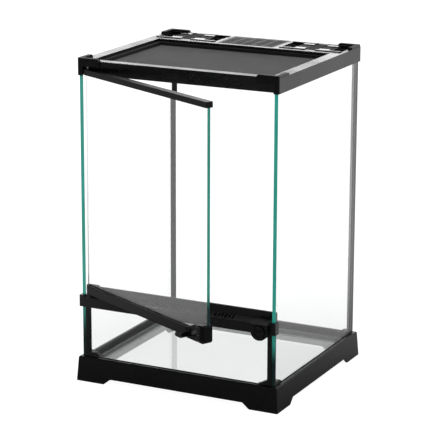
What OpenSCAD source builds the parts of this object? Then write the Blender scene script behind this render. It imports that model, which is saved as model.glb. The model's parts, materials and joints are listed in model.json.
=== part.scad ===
// Front-opening glass terrarium. A plastic base frame and a plastic top frame hold five panes;
// a glass door hangs in plastic rails, a mesh screen lifts out of the top, and four shutters
// slide over the cable inlets in the rear deck. X is the width, Y runs to the back, Z is up,
// and the origin is the centre of the base's footprint on the floor. All sizes in millimetres.

/* [Overall] */
// Width of the base at the floor
base_w = 305; // [290:1:340]
// Depth of the base at the floor
base_d = 280; // [265:1:320]
// Height of the top frame's upper surface above the floor
total_h = 448; // [400:1:600]

/* [Clearances] */
// Gap between a glass pane and the slot that holds it, each side
fit_gap = 0.2; // [0.1:0.05:0.3]
// Gap between a moving piece and the piece that guides it
run_gap = 0.3; // [0.25:0.05:0.5]
// Radial clearance of a pin in its bore
pin_gap = 0.05; // [0.02:0.01:0.09]

/* [Glass] */
// Thickness of every pane
glass_t = 4.5; // [3.5:0.5:5]
// Thickness of the plastic lip on the inner side of the panes
lip_t = 1.5; // [1:0.1:2]

/* [Base frame] */
// Height of the base frame
base_h = 35; // [32:0.5:42]
// Inward draft of each outer face, reached at the top edge
base_draft = 2.3; // [1:0.1:2.6]
// Bevel along the top outer edge
base_bevel = 1.2; // [0.6:0.1:1.6]
// Distance from the outer foot edge to the inner face of the frame
base_rail_w = 13.6; // [13:0.1:16]
// Thickness of the outer wall below the pane slot
base_wall = 3; // [2:0.1:3.6]
// Height of the arched cut between the corner feet
foot_h = 8; // [5:0.5:10]
// Length of a corner foot along each side
foot_len = 42; // [30:1:60]
// Length over which a foot rises into the arch
foot_slope = 10; // [4:1:16]
// Height of the underside of the shelf that carries the bottom pane
shelf_z = 13; // [11:0.5:14]
// Thickness of that shelf
shelf_t = 3; // [2:0.5:4]
// Width of that shelf inside the frame
shelf_w = 8; // [5:0.5:12]
// Depth of the pane slot below the top edge
base_slot = 15; // [10:0.5:16]
// Distance between the stiffening ribs under the frame
rib_pitch = 24; // [18:1:40]
// Thickness of a stiffening rib
rib_t = 1.8; // [1.2:0.1:3]

/* [Corner blocks] */
// Length of each arm of a front corner block
front_block_len = 22; // [16:1:30]
// Length of each arm of a rear corner block
rear_block_len = 18; // [16:1:30]
// Thickness of an arm
block_t = 6; // [4:0.5:6]
// Height of a corner block above the base frame
block_rise = 5; // [3:0.5:8]
// Depth to which its tongue hangs inside the frame
block_tongue = 8; // [4:0.5:12]

/* [Front posts] */
// Width of a front post
post_w = 6.2; // [5:0.1:8]
// Thickness of the post's walls in front of and behind the pane
post_wall = 1; // [0.8:0.1:1.6]
// Depth to which the pane reaches into the post
post_grip = 3; // [2:0.5:4]
// Reach of the curved foot of a post over the base frame
gusset_len = 17; // [10:1:24]
// Height of the curved foot of a post
gusset_h = 7; // [4:0.5:12]

/* [Vent bar] */
// Height of the bar's lower edge above the floor
bar_z = 107; // [90:1:130]
// Height of the bar's front face
bar_face_h = 13.5; // [12.5:0.5:18]
// Rise of the slotted ledge from the front face to the door stop
ledge_rise = 4; // [2:0.5:6]
// Height of the door stop above the ledge
stop_h = 11; // [8:0.5:16]
// Thickness of the door stop
stop_t = 3; // [2:0.5:4]
// Depth of the groove that holds the front pane's upper edge
bar_slot = 8; // [5:0.5:9]
// Thickness of the bar's outer walls
bar_wall = 1.8; // [1.4:0.1:2.2]
// Number of slot groups along the ledge
slot_groups = 5; // [3:1:5]
// Number of slots in a group
group_slots = 6; // [4:1:6]
// Distance between slots
slot_pitch = 5.2; // [4.6:0.1:5.6]
// Width of a slot
slot_w = 2.6; // [2:0.1:3]
// Distance between slot groups
group_pitch = 35; // [34:0.5:38]
// Height of the end clips that wrap round the side panes
clip_h = 16.5; // [14:0.5:17]
// Thickness of the end clips outside the panes
clip_t = 2.3; // [1.5:0.1:2.6]
// Reach of the end clips along the outside of the panes
clip_len = 5; // [3:0.5:10]
// Length of the lug behind the door stop, beside the hinge
lug_len = 18; // [10:1:24]
// Depth of that lug
lug_d = 2.5; // [1:0.5:4]

/* [Rear corner strips] */
// Leg of the three-sided strip in each rear corner
strip_leg = 6; // [4:0.5:8]

/* [Top frame] */
// Inset of the top frame from the base's footprint, each side
top_inset = 5; // [4.5:0.1:5.2]
// Height of the top frame
top_h = 20.4; // [19:0.1:26]
// Depth of the pane slot in the underside
top_slot = 10; // [6:0.5:10.5]
// Thickness of the rear deck
deck_t = 5; // [4.5:0.5:6]
// Thickness of the rails' top plate
plate_t = 3; // [2:0.5:4]
// Width of the side rails beside the screen well
side_rail_w = 16.5; // [15:0.5:20]
// Width of the front rail from the frame's front plane to the screen well
front_rail_w = 15; // [14.5:0.5:20]
// Depth of the rear deck
deck_d = 69; // [66:1:76]
// Thickness of the wall round the screen well
well_wall = 2; // [1.5:0.5:3]
// Height of the front rail's nose over the door
nose_h = 8; // [6:0.5:9]
// Height of the ledge that carries the screen
seat_t = 2; // [1.5:0.5:3]
// Width of that ledge
seat_w = 3.5; // [2.5:0.5:5]

/* [Corner caps] */
// Length of a cap's arms
cap_len = 33; // [24:1:40]
// Width of a cap's raised lip
cap_w = 6; // [4:0.5:8]
// Height of the raised lip
cap_rise = 3.2; // [2:0.1:5]
// Thickness of a front cap's face
cap_t = 2.2; // [2:0.1:2.4]
// Radius of a cap's outer corner
cap_r = 2; // [1:0.1:2]
// Width of a front cap's leg over the pane edge
cap_leg_w = 7.9; // [7:0.1:8]

/* [Screen] */
// Width of the screen frame's rim
screen_rim = 5; // [4:0.5:8]
// Depth of the rim's top below the top frame
screen_drop = 6.7; // [5:0.1:8]
// Width of the flange under the mesh
mesh_flange = 3; // [2:0.5:5]
// Thickness of that flange
flange_t = 0.9; // [0.6:0.1:1.5]
// Thickness of the mesh
mesh_t = 0.6; // [0.4:0.1:1]

/* [Rear deck] */
// Width of the column between the two shutters of a bay
column_w = 16; // [12:0.5:18]
// Width of a cable inlet
inlet_w = 15; // [12:0.5:15.5]
// Depth of a cable inlet, front to back
inlet_d = 24; // [18:0.5:28]
// Width of a shutter
shutter_w = 19; // [17:0.5:19.5]
// Length of a shutter, front to back
shutter_d = 50; // [46:0.5:50.5]
// Thickness of a shutter's plate
shutter_t = 1.6; // [1.2:0.1:1.8]
// Width of the guide lips over a shutter's ends
guide_w = 4; // [3:0.5:5]
// Thickness of the guide lips
guide_t = 1.3; // [1:0.1:2]
// Height of a shutter's raised tabs
tab_h = 1.2; // [0.8:0.1:2]
// Length of a raised tab, front to back
tab_d = 8; // [6:0.5:9]
// Border between the outer inlet's bay and the frame's side
bay_border = 6.5; // [6:0.5:8]
// Rib between the grille and the inner bays
grille_border = 7; // [6:0.5:9]
// Length of the grille, front to back
grille_d = 59.5; // [50:0.5:60]
// Thickness of the grille
grille_t = 2.4; // [2:0.1:2.5]
// Number of panels in the grille
grille_panels = 5; // [3:1:7]
// Width of the rib between two panels
grille_rib = 2.2; // [1.5:0.1:4]
// Distance between the grille's slits
slit_pitch = 3; // [2.4:0.1:4]
// Width of a slit
slit_w = 1.6; // [1:0.1:1.8]

/* [Door] */
// Angle by which the door stands open
door_open = 26.8; // [0:0.1:70]
// Thickness of the door rails
door_t = 10.4; // [9:0.1:11]
// Gap between the closed door and the side panes
door_side_gap = 2.4; // [1.5:0.1:4]
// Gap under the closed door
door_gap_z = 1; // [0.6:0.1:2]
// Gap between the closed door and the top frame's nose
door_gap_top = 3.5; // [1:0.1:4]
// Height of the upper rail
top_rail_h = 7.8; // [7.6:0.1:12]
// Height of the lower rail
low_rail_h = 12.5; // [11:0.1:15]
// Depth to which the pane sits in the rails
rail_grip = 5; // [4:0.1:5.5]
// Thickness of the plastic over the pane's free end
end_wall = 1.2; // [1:0.1:2]
// Radius of the hinge pins
pin_r = 1.5; // [1:0.1:1.8]
// Length of a hinge pin in the frame
pin_reach = 5; // [3:0.5:6]

/* [Latch] */
// Length of the latch housing along the door
latch_len = 34; // [30:0.5:44]
// Height of the latch housing
latch_h = 24; // [22:0.5:32]
// Depth of the hood and ear that carry the lever
hood_d = 7.2; // [6.5:0.1:9]
// Height of the hood over the lever
hood_h = 7; // [5:0.5:9]
// Thickness of the ear under the lever
ear_h = 3; // [2:0.5:4]
// Radius of the lever's hub
hub_r = 3; // [2.6:0.1:3.2]
// Radius of the lever's pin
latch_pin_r = 1; // [0.7:0.1:1.2]
// Distance from the hub to the finger pad's far end
lever_len = 36; // [30:0.5:46]
// Length of the finger pad
pad_len = 25; // [18:0.5:26]
// Height of the finger pad
pad_h = 6.8; // [5:0.1:8]
// Thickness of the finger pad
pad_t = 3.3; // [2.5:0.1:4]
// Finger gap behind the pad
finger_gap = 7.5; // [7:0.1:10]

/* [Lock] */
// Width of the lock housing
lock_w = 24; // [21:0.5:28]
// Depth of the lock housing in front of the vent bar
lock_d = 7.3; // [6:0.1:10]
// Height of the knob's axis above the bar's lower edge
lock_rise = 4.5; // [2:0.5:6]
// Radius of the turning knob
knob_r = 8.5; // [7:0.1:9]
// Projection of the knob from its housing
knob_out = 2.5; // [1.5:0.1:4]
// Depth of the round seat behind the knob
knob_seat = 2; // [1:0.1:3]
// Radius of the knob's shaft
shaft_r = 3; // [2:0.1:4]
// Width of the coin slot in the knob
coin_w = 2; // [1.2:0.1:3]
// Depth of the coin slot
coin_d = 1.4; // [0.8:0.1:2]

/* [Hidden] */

$fn = 48;
cut = 1;                                     // how far a cutting tool overshoots a surface
curve_steps = 10;                            // straight pieces in an S-shaped edge

plastic = [0.09, 0.09, 0.10];
soft_black = [0.14, 0.14, 0.15];
glass_tint = [0.62, 0.86, 0.80, 0.35];
steel = [0.72, 0.73, 0.75];

half_w = base_w / 2;
half_d = base_d / 2;

// panes: inner and outer face, measured from the middle of the tank
inner_x = half_w - base_rail_w;
inner_y = half_d - base_rail_w;
pane_in = lip_t + fit_gap;
pane_in_x = inner_x + pane_in;
pane_in_y = inner_y + pane_in;
pane_out_x = pane_in_x + glass_t;
pane_out_y = pane_in_y + glass_t;
pane_low = base_h - base_slot;
floor_z = shelf_z + shelf_t;

// top frame
top_x = half_w - top_inset;
top_y = half_d - top_inset;
top_low = total_h - top_h;
pane_top = top_low + top_slot - fit_gap;
well_x = top_x - side_rail_w;
well_front = top_y - front_rail_w;
well_back = top_y - deck_d;
nose_low = total_h - nose_h;
nose_y = top_y - cap_t;

// door in its closed place: the front faces of door, vent bar and base's top edge line up
face_y = half_d - base_draft;
stop_y = face_y - door_t - run_gap;
door_x = pane_in_x - door_side_gap;
hinge_x = -(door_x - door_t / 2);
hinge_y = -(face_y - door_t / 2);
ledge_low = bar_z + bar_face_h;
ledge_top = ledge_low + ledge_rise;
bar_top = ledge_top + stop_h;
door_low = ledge_top + door_gap_z;
door_top = nose_low - door_gap_top;
door_pane_low = door_low + low_rail_h - rail_grip;
door_pane_top = door_top - top_rail_h + rail_grip;
groove_half = glass_t / 2 + fit_gap;

// front posts
post_in_x = pane_in_x - fit_gap - post_w;
post_front = pane_out_y + fit_gap + post_wall;
post_back = pane_in_y - fit_gap - post_wall;

// rear deck
deck_mid = (well_back + top_y) / 2 + 2.7;
grille_mid = (well_back + top_y) / 2 + 1.5;
deck_floor = total_h - 2.5;
bay_half = column_w / 2 + run_gap + shutter_w + 0.7 + inlet_w + 2.5;
bay_x = top_x - bay_border - bay_half;
inlet_off = bay_half - 2.5 - inlet_w / 2;
shutter_off = column_w / 2 + run_gap + shutter_w / 2;
bay_d = shutter_d + 2 * run_gap;
grille_half = bay_x - bay_half - grille_border;

// latch, in the closed door's place
latch_x = door_x - latch_len;
hub_x = door_x - 11;
hub_y = -(face_y + hood_d - hub_r - 0.7);
ear_low = door_low + 0.5;
lever_low = ear_low + ear_h + run_gap;
hood_low = door_low + latch_h - hood_h - 2.5;
lever_top = hood_low - run_gap;
pad_back = face_y + finger_gap;

// lock
lock_x = door_x + run_gap - lock_w / 2;
lock_z = bar_z + lock_rise;
lock_y = face_y + lock_d;

// Box between two corners
module box(lo, hi) {
    translate(lo) cube(hi - lo);
}

// Moves and mirrors a piece drawn for the right rear corner to another corner
module at_corner(side, end) {
    mirror([side < 0 ? 1 : 0, 0, 0]) mirror([0, end < 0 ? 1 : 0, 0]) children();
}

// Extrudes a profile drawn in Y and Z along X, from x0 to x1
module along_x(x0, x1) {
    translate([x0, 0, 0]) rotate([90, 0, 90]) linear_extrude(x1 - x0) children();
}

// Extrudes a profile drawn in X and Z along Y, from y0 to y1
module along_y(y0, y1) {
    translate([0, y1, 0]) rotate([90, 0, 0]) linear_extrude(y1 - y0) children();
}

// Rectangular ring with half sizes a (outer) and b (inner), from z0 to z1
module ring(a, b, z0, z1) {
    difference() {
        box([-a[0], -a[1], z0], [a[0], a[1], z1]);
        box([-b[0], -b[1], z0 - cut], [b[0], b[1], z1 + cut]);
    }
}

// Points of an S-shaped edge that falls from [x0, z0] to [x1, z1]
function s_curve(x0, z0, x1, z1) =
    [for (i = [0:curve_steps]) let (t = i / curve_steps)
        [x0 + (x1 - x0) * t, z0 + (z1 - z0) * (1 - cos(180 * t)) / 2]];

// Outline of the frame's drafted sides, for a side of half width h
module draft_outline(h) {
    polygon([[-h, 0], [h, 0], [h - base_draft, base_h - base_bevel],
             [h - base_draft - base_bevel, base_h], [base_draft + base_bevel - h, base_h],
             [base_draft - h, base_h - base_bevel]]);
}

// Arched cut between two feet, for a side of half length h
module foot_arch(h) {
    polygon([[foot_len - h, -cut], [h - foot_len, -cut], [h - foot_len, 0],
             [h - foot_len - foot_slope, foot_h], [foot_len + foot_slope - h, foot_h],
             [foot_len - h, 0]]);
}

// ---------------------------------------------------------------- base

module base_frame() {
    skirt_x = inner_x - shelf_w;
    skirt_y = inner_y - shelf_w;
    cavity_x = half_w - base_wall;
    cavity_y = half_d - base_wall;
    color(plastic) difference() {
        intersection() {
            along_y(-half_d, half_d) draft_outline(half_w);
            along_x(-half_w, half_w) draft_outline(half_d);
        }
        // open middle, shelf for the bottom pane and slot for the upright panes
        box([-inner_x, -inner_y, floor_z], [inner_x, inner_y, base_h + cut]);
        box([-skirt_x, -skirt_y, -cut], [skirt_x, skirt_y, base_h]);
        ring([pane_out_x + fit_gap, pane_out_y + fit_gap],
             [pane_in_x - fit_gap, pane_in_y - fit_gap], pane_low - fit_gap, base_h + cut);
        // arches between the feet
        along_y(-half_d - cut, half_d + cut) foot_arch(half_w);
        along_x(-half_w - cut, half_w + cut) foot_arch(half_d);
        // hollow underside, with ribs left across it
        difference() {
            ring([cavity_x, cavity_y], [skirt_x + base_wall, skirt_y + base_wall], -cut, shelf_z);
            base_ribs(cavity_x, cavity_y);
        }
    }
}

// Ribs across the hollow underside, along all four sides
module base_ribs(x, y) {
    rows_x = floor((skirt_span(inner_x)) / rib_pitch);
    rows_y = floor((skirt_span(inner_y)) / rib_pitch);
    for (i = [-rows_x:rows_x])
        translate([i * rib_pitch - rib_t / 2, 0, foot_h])
            for (side = [-1, 1])
                translate([0, side > 0 ? inner_y - shelf_w : -y - cut, 0])
                    cube([rib_t, y - inner_y + shelf_w + cut, shelf_z - foot_h + cut]);
    for (i = [-rows_y:rows_y])
        translate([0, i * rib_pitch - rib_t / 2, foot_h])
            for (side = [-1, 1])
                translate([side > 0 ? inner_x - shelf_w : -x - cut, 0, 0])
                    cube([x - inner_x + shelf_w + cut, rib_t, shelf_z - foot_h + cut]);
}

// Half length along which ribs stand beside an inner face at distance h
function skirt_span(h) = h - shelf_w - base_wall;

// Arm of a corner block along X, from the corner inwards, with a falling S-shaped end
module block_arm(corner, len) {
    along_y(corner[1] - block_t, corner[1])
        polygon(concat([[corner[0], base_h], [corner[0], base_h + block_rise]],
                       s_curve(corner[0] - len * 0.45, base_h + block_rise,
                               corner[0] - len, base_h)));
}

// L-shaped block that locates the panes in a corner; corner is its outer corner in X and Y
module corner_block(corner, len, side, end) {
    x = inner_x - fit_gap;
    y = inner_y - fit_gap;
    low = base_h - block_tongue;
    high = base_h + block_rise / 2;
    color(plastic) at_corner(side, end) {
        block_arm(corner, len);
        mirror([1, -1, 0]) block_arm([corner[1], corner[0]], len);
        // tongues inside the frame's inner faces
        box([corner[0] - block_t, corner[1] - len * 0.6, low], [x, y, high]);
        box([corner[0] - len * 0.6, corner[1] - block_t, low], [x, y, high]);
    }
}

module rear_block(side)
    corner_block([pane_in_x - fit_gap, pane_in_y - fit_gap], rear_block_len, side, 1);

module front_block(side)
    corner_block([pane_in_x - fit_gap, post_back - fit_gap], front_block_len, side, -1);

// ---------------------------------------------------------------- glass

module bottom_glass() {
    x = inner_x - fit_gap;
    y = inner_y - fit_gap;
    color(glass_tint) box([-x, -y, floor_z], [x, y, floor_z + glass_t]);
}

module side_glass(side) {
    color(glass_tint) at_corner(side, 1)
        box([pane_in_x, -pane_out_y, pane_low], [pane_out_x, pane_out_y, pane_top]);
}

module rear_glass() {
    x = pane_in_x - fit_gap;
    color(glass_tint) box([-x, pane_in_y, pane_low], [x, pane_out_y, pane_top]);
}

module front_glass() {
    x = post_in_x + post_grip - fit_gap;
    color(glass_tint)
        box([-x, -pane_out_y, pane_low], [x, -pane_in_y, bar_z + bar_slot - fit_gap]);
}

// Three-sided strip along a rear corner, between the corner block and the top frame
module rear_strip(side) {
    x = pane_in_x - fit_gap;
    y = pane_in_y - fit_gap;
    low = base_h + block_rise;
    color(soft_black) at_corner(side, 1) translate([0, 0, low])
        linear_extrude(top_low - low)
            polygon([[x, y], [x - strip_leg, y], [x, y - strip_leg]]);
}

// ---------------------------------------------------------------- front posts and vent bar

module front_post(side) {
    x1 = post_in_x + post_w;
    top = bar_z - fit_gap;
    round_r = post_w / 2;
    color(plastic) at_corner(side, -1) {
        difference() {
            along_y(post_back, post_front) union() {
                translate([post_in_x, base_h]) square([post_w, top - base_h - round_r]);
                translate([post_in_x + round_r, base_h])
                    square([post_w - round_r, top - base_h]);
                translate([post_in_x + round_r, top - round_r]) circle(round_r);
            }
            // groove for the pane
            box([post_in_x - cut, pane_in_y - fit_gap, base_h - cut],
                [post_in_x + post_grip, pane_out_y + fit_gap, bar_z]);
        }
        // curved foot in front of the pane
        along_y(pane_out_y + fit_gap, post_front)
            polygon(concat([[post_in_x, base_h]],
                           s_curve(post_in_x, base_h + gusset_h,
                                   post_in_x - gusset_len, base_h)));
    }
}

// Cross-section of the vent bar, with its air chamber and the groove for the front pane
module bar_section() {
    y0 = -face_y;
    y1 = -stop_y;
    y2 = y1 + stop_t;
    slope = ledge_rise / (y1 - y0);
    groove_top = bar_z + bar_slot;
    chamber_low = groove_top + bar_wall;
    difference() {
        polygon([[y0, bar_z], [y0, ledge_low], [y1, ledge_top], [y1, bar_top],
                 [y2, bar_top], [y2, bar_z]]);
        translate([-pane_out_y - fit_gap, bar_z - cut])
            square([glass_t + 2 * fit_gap, bar_slot + cut]);
        polygon([[y0 + bar_wall, chamber_low],
                 [y0 + bar_wall, ledge_low - bar_wall + slope * bar_wall],
                 [y2 - bar_wall, ledge_low - bar_wall + slope * (y2 - bar_wall - y0)],
                 [y2 - bar_wall, chamber_low]]);
    }
}

// Places its children at each slot of the ledge
module each_slot() {
    for (g = [0:slot_groups - 1])
        for (s = [0:group_slots - 1])
            translate([(g - (slot_groups - 1) / 2) * group_pitch
                       + (s - (group_slots - 1) / 2) * slot_pitch, 0, 0]) children();
}

// End clip round a side pane's front edge
module bar_end(side) {
    inner = pane_in_x - fit_gap;
    at_corner(side, -1) {
        box([inner - cut, pane_out_y + fit_gap, bar_z],
            [pane_out_x + fit_gap + clip_t, face_y, bar_z + clip_h]);
        box([pane_out_x + fit_gap, pane_out_y + fit_gap - clip_len, bar_z],
            [pane_out_x + fit_gap + clip_t, face_y, bar_z + clip_h]);
    }
}

module vent_bar() {
    span = pane_in_x - fit_gap;
    chamber_low = bar_z + bar_slot + bar_wall;
    color(plastic) difference() {
        union() {
            along_x(-span, span) bar_section();
            for (side = [-1, 1]) bar_end(side);
            box([-span, -stop_y + stop_t - cut, ledge_low],
                [lug_len - span, -stop_y + stop_t + lug_d, bar_top + door_gap_z]);
            // column that carries the door's lower pin
            translate([hinge_x, hinge_y, bar_z])
                cylinder(r = door_t / 2 - fit_gap, h = door_low - run_gap - bar_z);
        }
        // air slots in the ledge
        each_slot()
            box([-slot_w / 2, -face_y + bar_wall, chamber_low + 0.4],
                [slot_w / 2, -stop_y - 0.8, ledge_top + cut]);
        // windows from the chamber into the tank
        for (g = [0:slot_groups - 1])
            translate([(g - (slot_groups - 1) / 2) * group_pitch, 0, 0])
                box([-group_pitch / 2 + 2, -stop_y + stop_t - bar_wall - cut, chamber_low],
                    [group_pitch / 2 - 2, -stop_y + stop_t + cut, ledge_low]);
        // the pane's groove, cut through the hinge column again, and the pin's bore
        box([-post_in_x - post_grip, -pane_out_y - fit_gap, bar_z - cut],
            [post_in_x + post_grip, -pane_in_y + fit_gap, bar_z + bar_slot]);
        translate([hinge_x, hinge_y, door_low - run_gap - pin_reach * 2])
            cylinder(r = pin_r + pin_gap, h = pin_reach * 2 + cut);
    }
}

// ---------------------------------------------------------------- top frame

// Opening for the screen
module screen_well(grow, z0, z1) {
    box([-well_x - grow, -well_front - grow, z0], [well_x + grow, well_back + grow, z1]);
}

module top_frame() {
    lip_x = pane_in_x - pane_in;
    lip_y = pane_in_y - pane_in;
    under = total_h - plate_t;
    color(plastic) union() {
        difference() {
            union() {
                // side and rear rails, top plate and front beam
                box([-top_x, -nose_y, top_low], [top_x, top_y, total_h]);
            }
            // the space over the door, in front of the header
            box([-lip_x, -top_y - cut, top_low - cut], [lip_x, -stop_y, nose_low]);
            // hollow side rails, and the open space under the deck
            box([-lip_x, -stop_y + front_beam(), top_low - cut], [lip_x, well_back - well_wall, under]);
            box([-lip_x, well_back - well_wall - cut, top_low - cut],
                [lip_x, lip_y, total_h - deck_t]);
            // pane slots
            ring([pane_out_x + fit_gap, pane_out_y + fit_gap],
                 [pane_in_x - fit_gap, pane_in_y - fit_gap], top_low - cut, top_low + top_slot);
            // screen well
            screen_well(0, top_low - cut, total_h + cut);
            // room for the front caps' hinge lugs
            for (side = [-1, 1]) at_corner(side, -1)
                box([lug_x() - fit_gap, stop_y + 1.5 - fit_gap, nose_low - cut],
                    [lip_x, top_y, total_h + cut]);
            // grille opening and its rebate
            box([-grille_half + 3, grille_mid - grille_d / 2 + 3, total_h - deck_t - cut],
                [grille_half - 3, lip_y, total_h + cut]);
            box([-grille_half - fit_gap, grille_mid - grille_d / 2 - fit_gap, deck_floor],
                [grille_half + fit_gap, grille_mid + grille_d / 2 + fit_gap, total_h + cut]);
            for (side = [-1, 1]) translate([side * bay_x, 0, 0]) inlet_bay();
        }
        // wall round the well, with the ledge that carries the screen
        difference() {
            screen_well(well_wall, top_low, under + cut);
            screen_well(0, top_low + seat_t, total_h);
            screen_well(-seat_w, top_low - cut, total_h);
        }
        for (side = [-1, 1]) translate([side * bay_x, 0, 0]) guide_lips();
    }
}

// Thickness of the solid beam behind the door stop plane
function front_beam() = stop_y - well_front;

// Where the front caps' hinge lugs begin, towards the middle
function lug_x() = -hinge_x - door_t / 2 - 2.5;

// Two shutter recesses with an inlet in each, either side of the column
module inlet_bay() {
    for (way = [-1, 1]) mirror([way < 0 ? 1 : 0, 0, 0]) {
        box([column_w / 2, deck_mid - bay_d / 2, deck_floor],
            [bay_half, deck_mid + bay_d / 2, total_h + cut]);
        box([inlet_off - inlet_w / 2, deck_mid - inlet_d / 2, total_h - deck_t - cut],
            [inlet_off + inlet_w / 2, deck_mid + inlet_d / 2, total_h + cut]);
    }
}

// Lips that hold the shutters down at the front and back of a bay
module guide_lips() {
    z = deck_floor + 2 * run_gap + shutter_t;
    for (way = [-1, 1]) mirror([0, way < 0 ? 1 : 0, 0])
        translate([0, way * deck_mid, 0])
            for (half = [-1, 1]) mirror([half < 0 ? 1 : 0, 0, 0])
                box([column_w / 2 - run_gap, bay_d / 2 - guide_w, z],
                    [bay_half + run_gap, bay_d / 2 + run_gap, z + guide_t]);
}

// Profile of a cap's raised lip along one arm, with a sloped end
module lip_profile(start) {
    polygon([[start - cap_len, total_h], [start, total_h], [start, total_h + cap_rise],
             [start - cap_len + cap_rise, total_h + cap_rise]]);
}

// Raised L-shaped lip that locates a second tank stacked on top
module cap_lip() {
    difference() {
        union() {
            along_y(top_y - cap_w, top_y) lip_profile(top_x);
            mirror([1, -1, 0]) along_y(top_x - cap_w, top_x) lip_profile(top_y);
        }
        corner_round();
    }
}

// Tool that rounds the outer corner of a cap
module corner_round() {
    difference() {
        box([top_x - cap_r, top_y - cap_r, top_low - cut],
            [top_x + cut, top_y + cut, total_h + cap_rise + cut]);
        translate([top_x - cap_r, top_y - cap_r, top_low - 2 * cut])
            cylinder(r = cap_r, h = top_h + cap_rise + 4 * cut);
    }
}

module rear_cap(side) {
    color(soft_black) at_corner(side, 1) cap_lip();
}

// Cap with a face over the frame's front corner and a lug for the door's upper pin
module front_cap(side) {
    lip_x = pane_in_x - pane_in;
    color(soft_black) difference() {
        at_corner(side, -1) {
            cap_lip();
            difference() {
                union() {
                    box([top_x - cap_len, nose_y, nose_low], [top_x, top_y, total_h]);
                    box([top_x - cap_leg_w, nose_y, top_low], [top_x, top_y, total_h]);
                    box([lug_x(), stop_y + 1.5, nose_low],
                        [lip_x - fit_gap, top_y, total_h]);
                }
                corner_round();
            }
        }
        if (side < 0)
            translate([hinge_x, hinge_y, nose_low - cut])
                cylinder(r = pin_r + pin_gap, h = pin_reach + run_gap + cut);
    }
}

module rear_vent_grille() {
    inner = 2 * (grille_half - 3.4);
    panel_w = (inner - (grille_panels - 1) * grille_rib) / grille_panels;
    rows = floor((grille_d - 8) / slit_pitch);
    color(soft_black) difference() {
        box([-grille_half, grille_mid - grille_d / 2, deck_floor],
            [grille_half, grille_mid + grille_d / 2, deck_floor + grille_t]);
        for (p = [0:grille_panels - 1])
            for (r = [0:rows - 1])
                translate([-inner / 2 + p * (panel_w + grille_rib),
                           grille_mid - 1.4 + (r - (rows - 1) / 2) * slit_pitch - slit_w / 2,
                           deck_floor - cut])
                    cube([panel_w, slit_w, grille_t + 2 * cut]);
    }
}

// Sliding shutter of the right bay; way is -1 for the inner and 1 for the outer one
module shutter(side, way) {
    z0 = deck_floor + run_gap;
    z1 = z0 + shutter_t;
    tab_mid = shutter_d / 2 - guide_w - run_gap - 1 - tab_d / 2;
    color(soft_black) translate([side * (bay_x + way * shutter_off), deck_mid, 0]) {
        box([-shutter_w / 2, -shutter_d / 2, z0], [shutter_w / 2, shutter_d / 2, z1]);
        for (end = [-1, 1])
            translate([0, end * tab_mid, 0])
                box([-shutter_w / 2 + 1.5, -tab_d / 2, z0],
                    [shutter_w / 2 - 1.5, tab_d / 2, z1 + tab_h]);
        // grip ribs across the middle
        for (i = [-3:3])
            translate([i * 2.2, 0, 0]) box([-0.5, -8, z0], [0.5, 8, z1 + tab_h / 2]);
    }
}

// ---------------------------------------------------------------- screen

module screen_frame() {
    z0 = top_low + seat_t + run_gap;
    z1 = total_h - screen_drop;
    color(soft_black) difference() {
        screen_well(-run_gap, z0, z1);
        screen_well(-run_gap - screen_rim, z0 + flange_t, z1 + cut);
        screen_well(-run_gap - screen_rim - mesh_flange, z0 - cut, z1);
    }
}

module screen_mesh() {
    z0 = top_low + seat_t + run_gap + flange_t;
    color(soft_black) screen_well(-run_gap - screen_rim - fit_gap, z0, z0 + mesh_t);
}

// ---------------------------------------------------------------- door

// Turns the closed door's pieces about the hinge to the open position
module on_door() {
    translate([hinge_x, hinge_y, 0]) rotate([0, 0, -door_open])
        translate([-hinge_x, -hinge_y, 0]) children();
}

// Solid rail from the hinge to x1, with a rounded knuckle about the hinge axis
module rail_body(x1, z0, z1) {
    translate([hinge_x, hinge_y, z0]) cylinder(r = door_t / 2, h = z1 - z0);
    box([hinge_x, hinge_y - door_t / 2, z0], [x1, hinge_y + door_t / 2, z1]);
}

// Groove that holds the door pane
module pane_groove(z0, z1) {
    box([-door_x + 2.8 - fit_gap, hinge_y - groove_half, z0],
        [door_x - end_wall, hinge_y + groove_half, z1]);
}

module door_glass() {
    color(glass_tint) on_door()
        box([-door_x + 2.8, hinge_y - glass_t / 2, door_pane_low],
            [door_x - end_wall - fit_gap, hinge_y + glass_t / 2, door_pane_top]);
}

module door_top_rail() {
    color(plastic) on_door() difference() {
        rail_body(door_x, door_top - top_rail_h, door_top);
        pane_groove(door_top - top_rail_h - cut, door_pane_top + fit_gap);
        translate([hinge_x, hinge_y, door_pane_top]) cylinder(r = pin_r + pin_gap, h = top_rail_h);
    }
}

module door_bottom_rail() {
    color(plastic) on_door() difference() {
        rail_body(latch_x, door_low, door_low + low_rail_h);
        pane_groove(door_pane_low - fit_gap, door_low + low_rail_h + cut);
        translate([hinge_x, hinge_y, door_low - cut])
            cylinder(r = pin_r + pin_gap, h = door_pane_low - door_low);
    }
}

module hinge_pin_top() {
    color(steel) translate([hinge_x, hinge_y, door_pane_top + fit_gap])
        cylinder(r = pin_r, h = nose_low + pin_reach - door_pane_top - fit_gap);
}

module hinge_pin_bottom() {
    low = door_low - run_gap - pin_reach * 2 + fit_gap;
    color(steel) translate([hinge_x, hinge_y, low])
        cylinder(r = pin_r, h = door_pane_low - fit_gap - cut - low);
}

// ---------------------------------------------------------------- latch

// Side view of the latch housing: level over the lever, curving down to the rail
module latch_outline() {
    top = door_low + latch_h;
    r = 3;
    polygon(concat([[latch_x, door_low], [door_x - r, door_low], [door_x - r, top]],
                   s_curve(latch_x + latch_len * 0.55, top, latch_x,
                           door_low + low_rail_h)));
    translate([door_x - r, door_low + r]) circle(r);
    translate([door_x - r - cut, door_low + r]) square([r + cut, latch_h - 2 * r]);
    translate([door_x - r, top - r]) circle(r);
}

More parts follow.
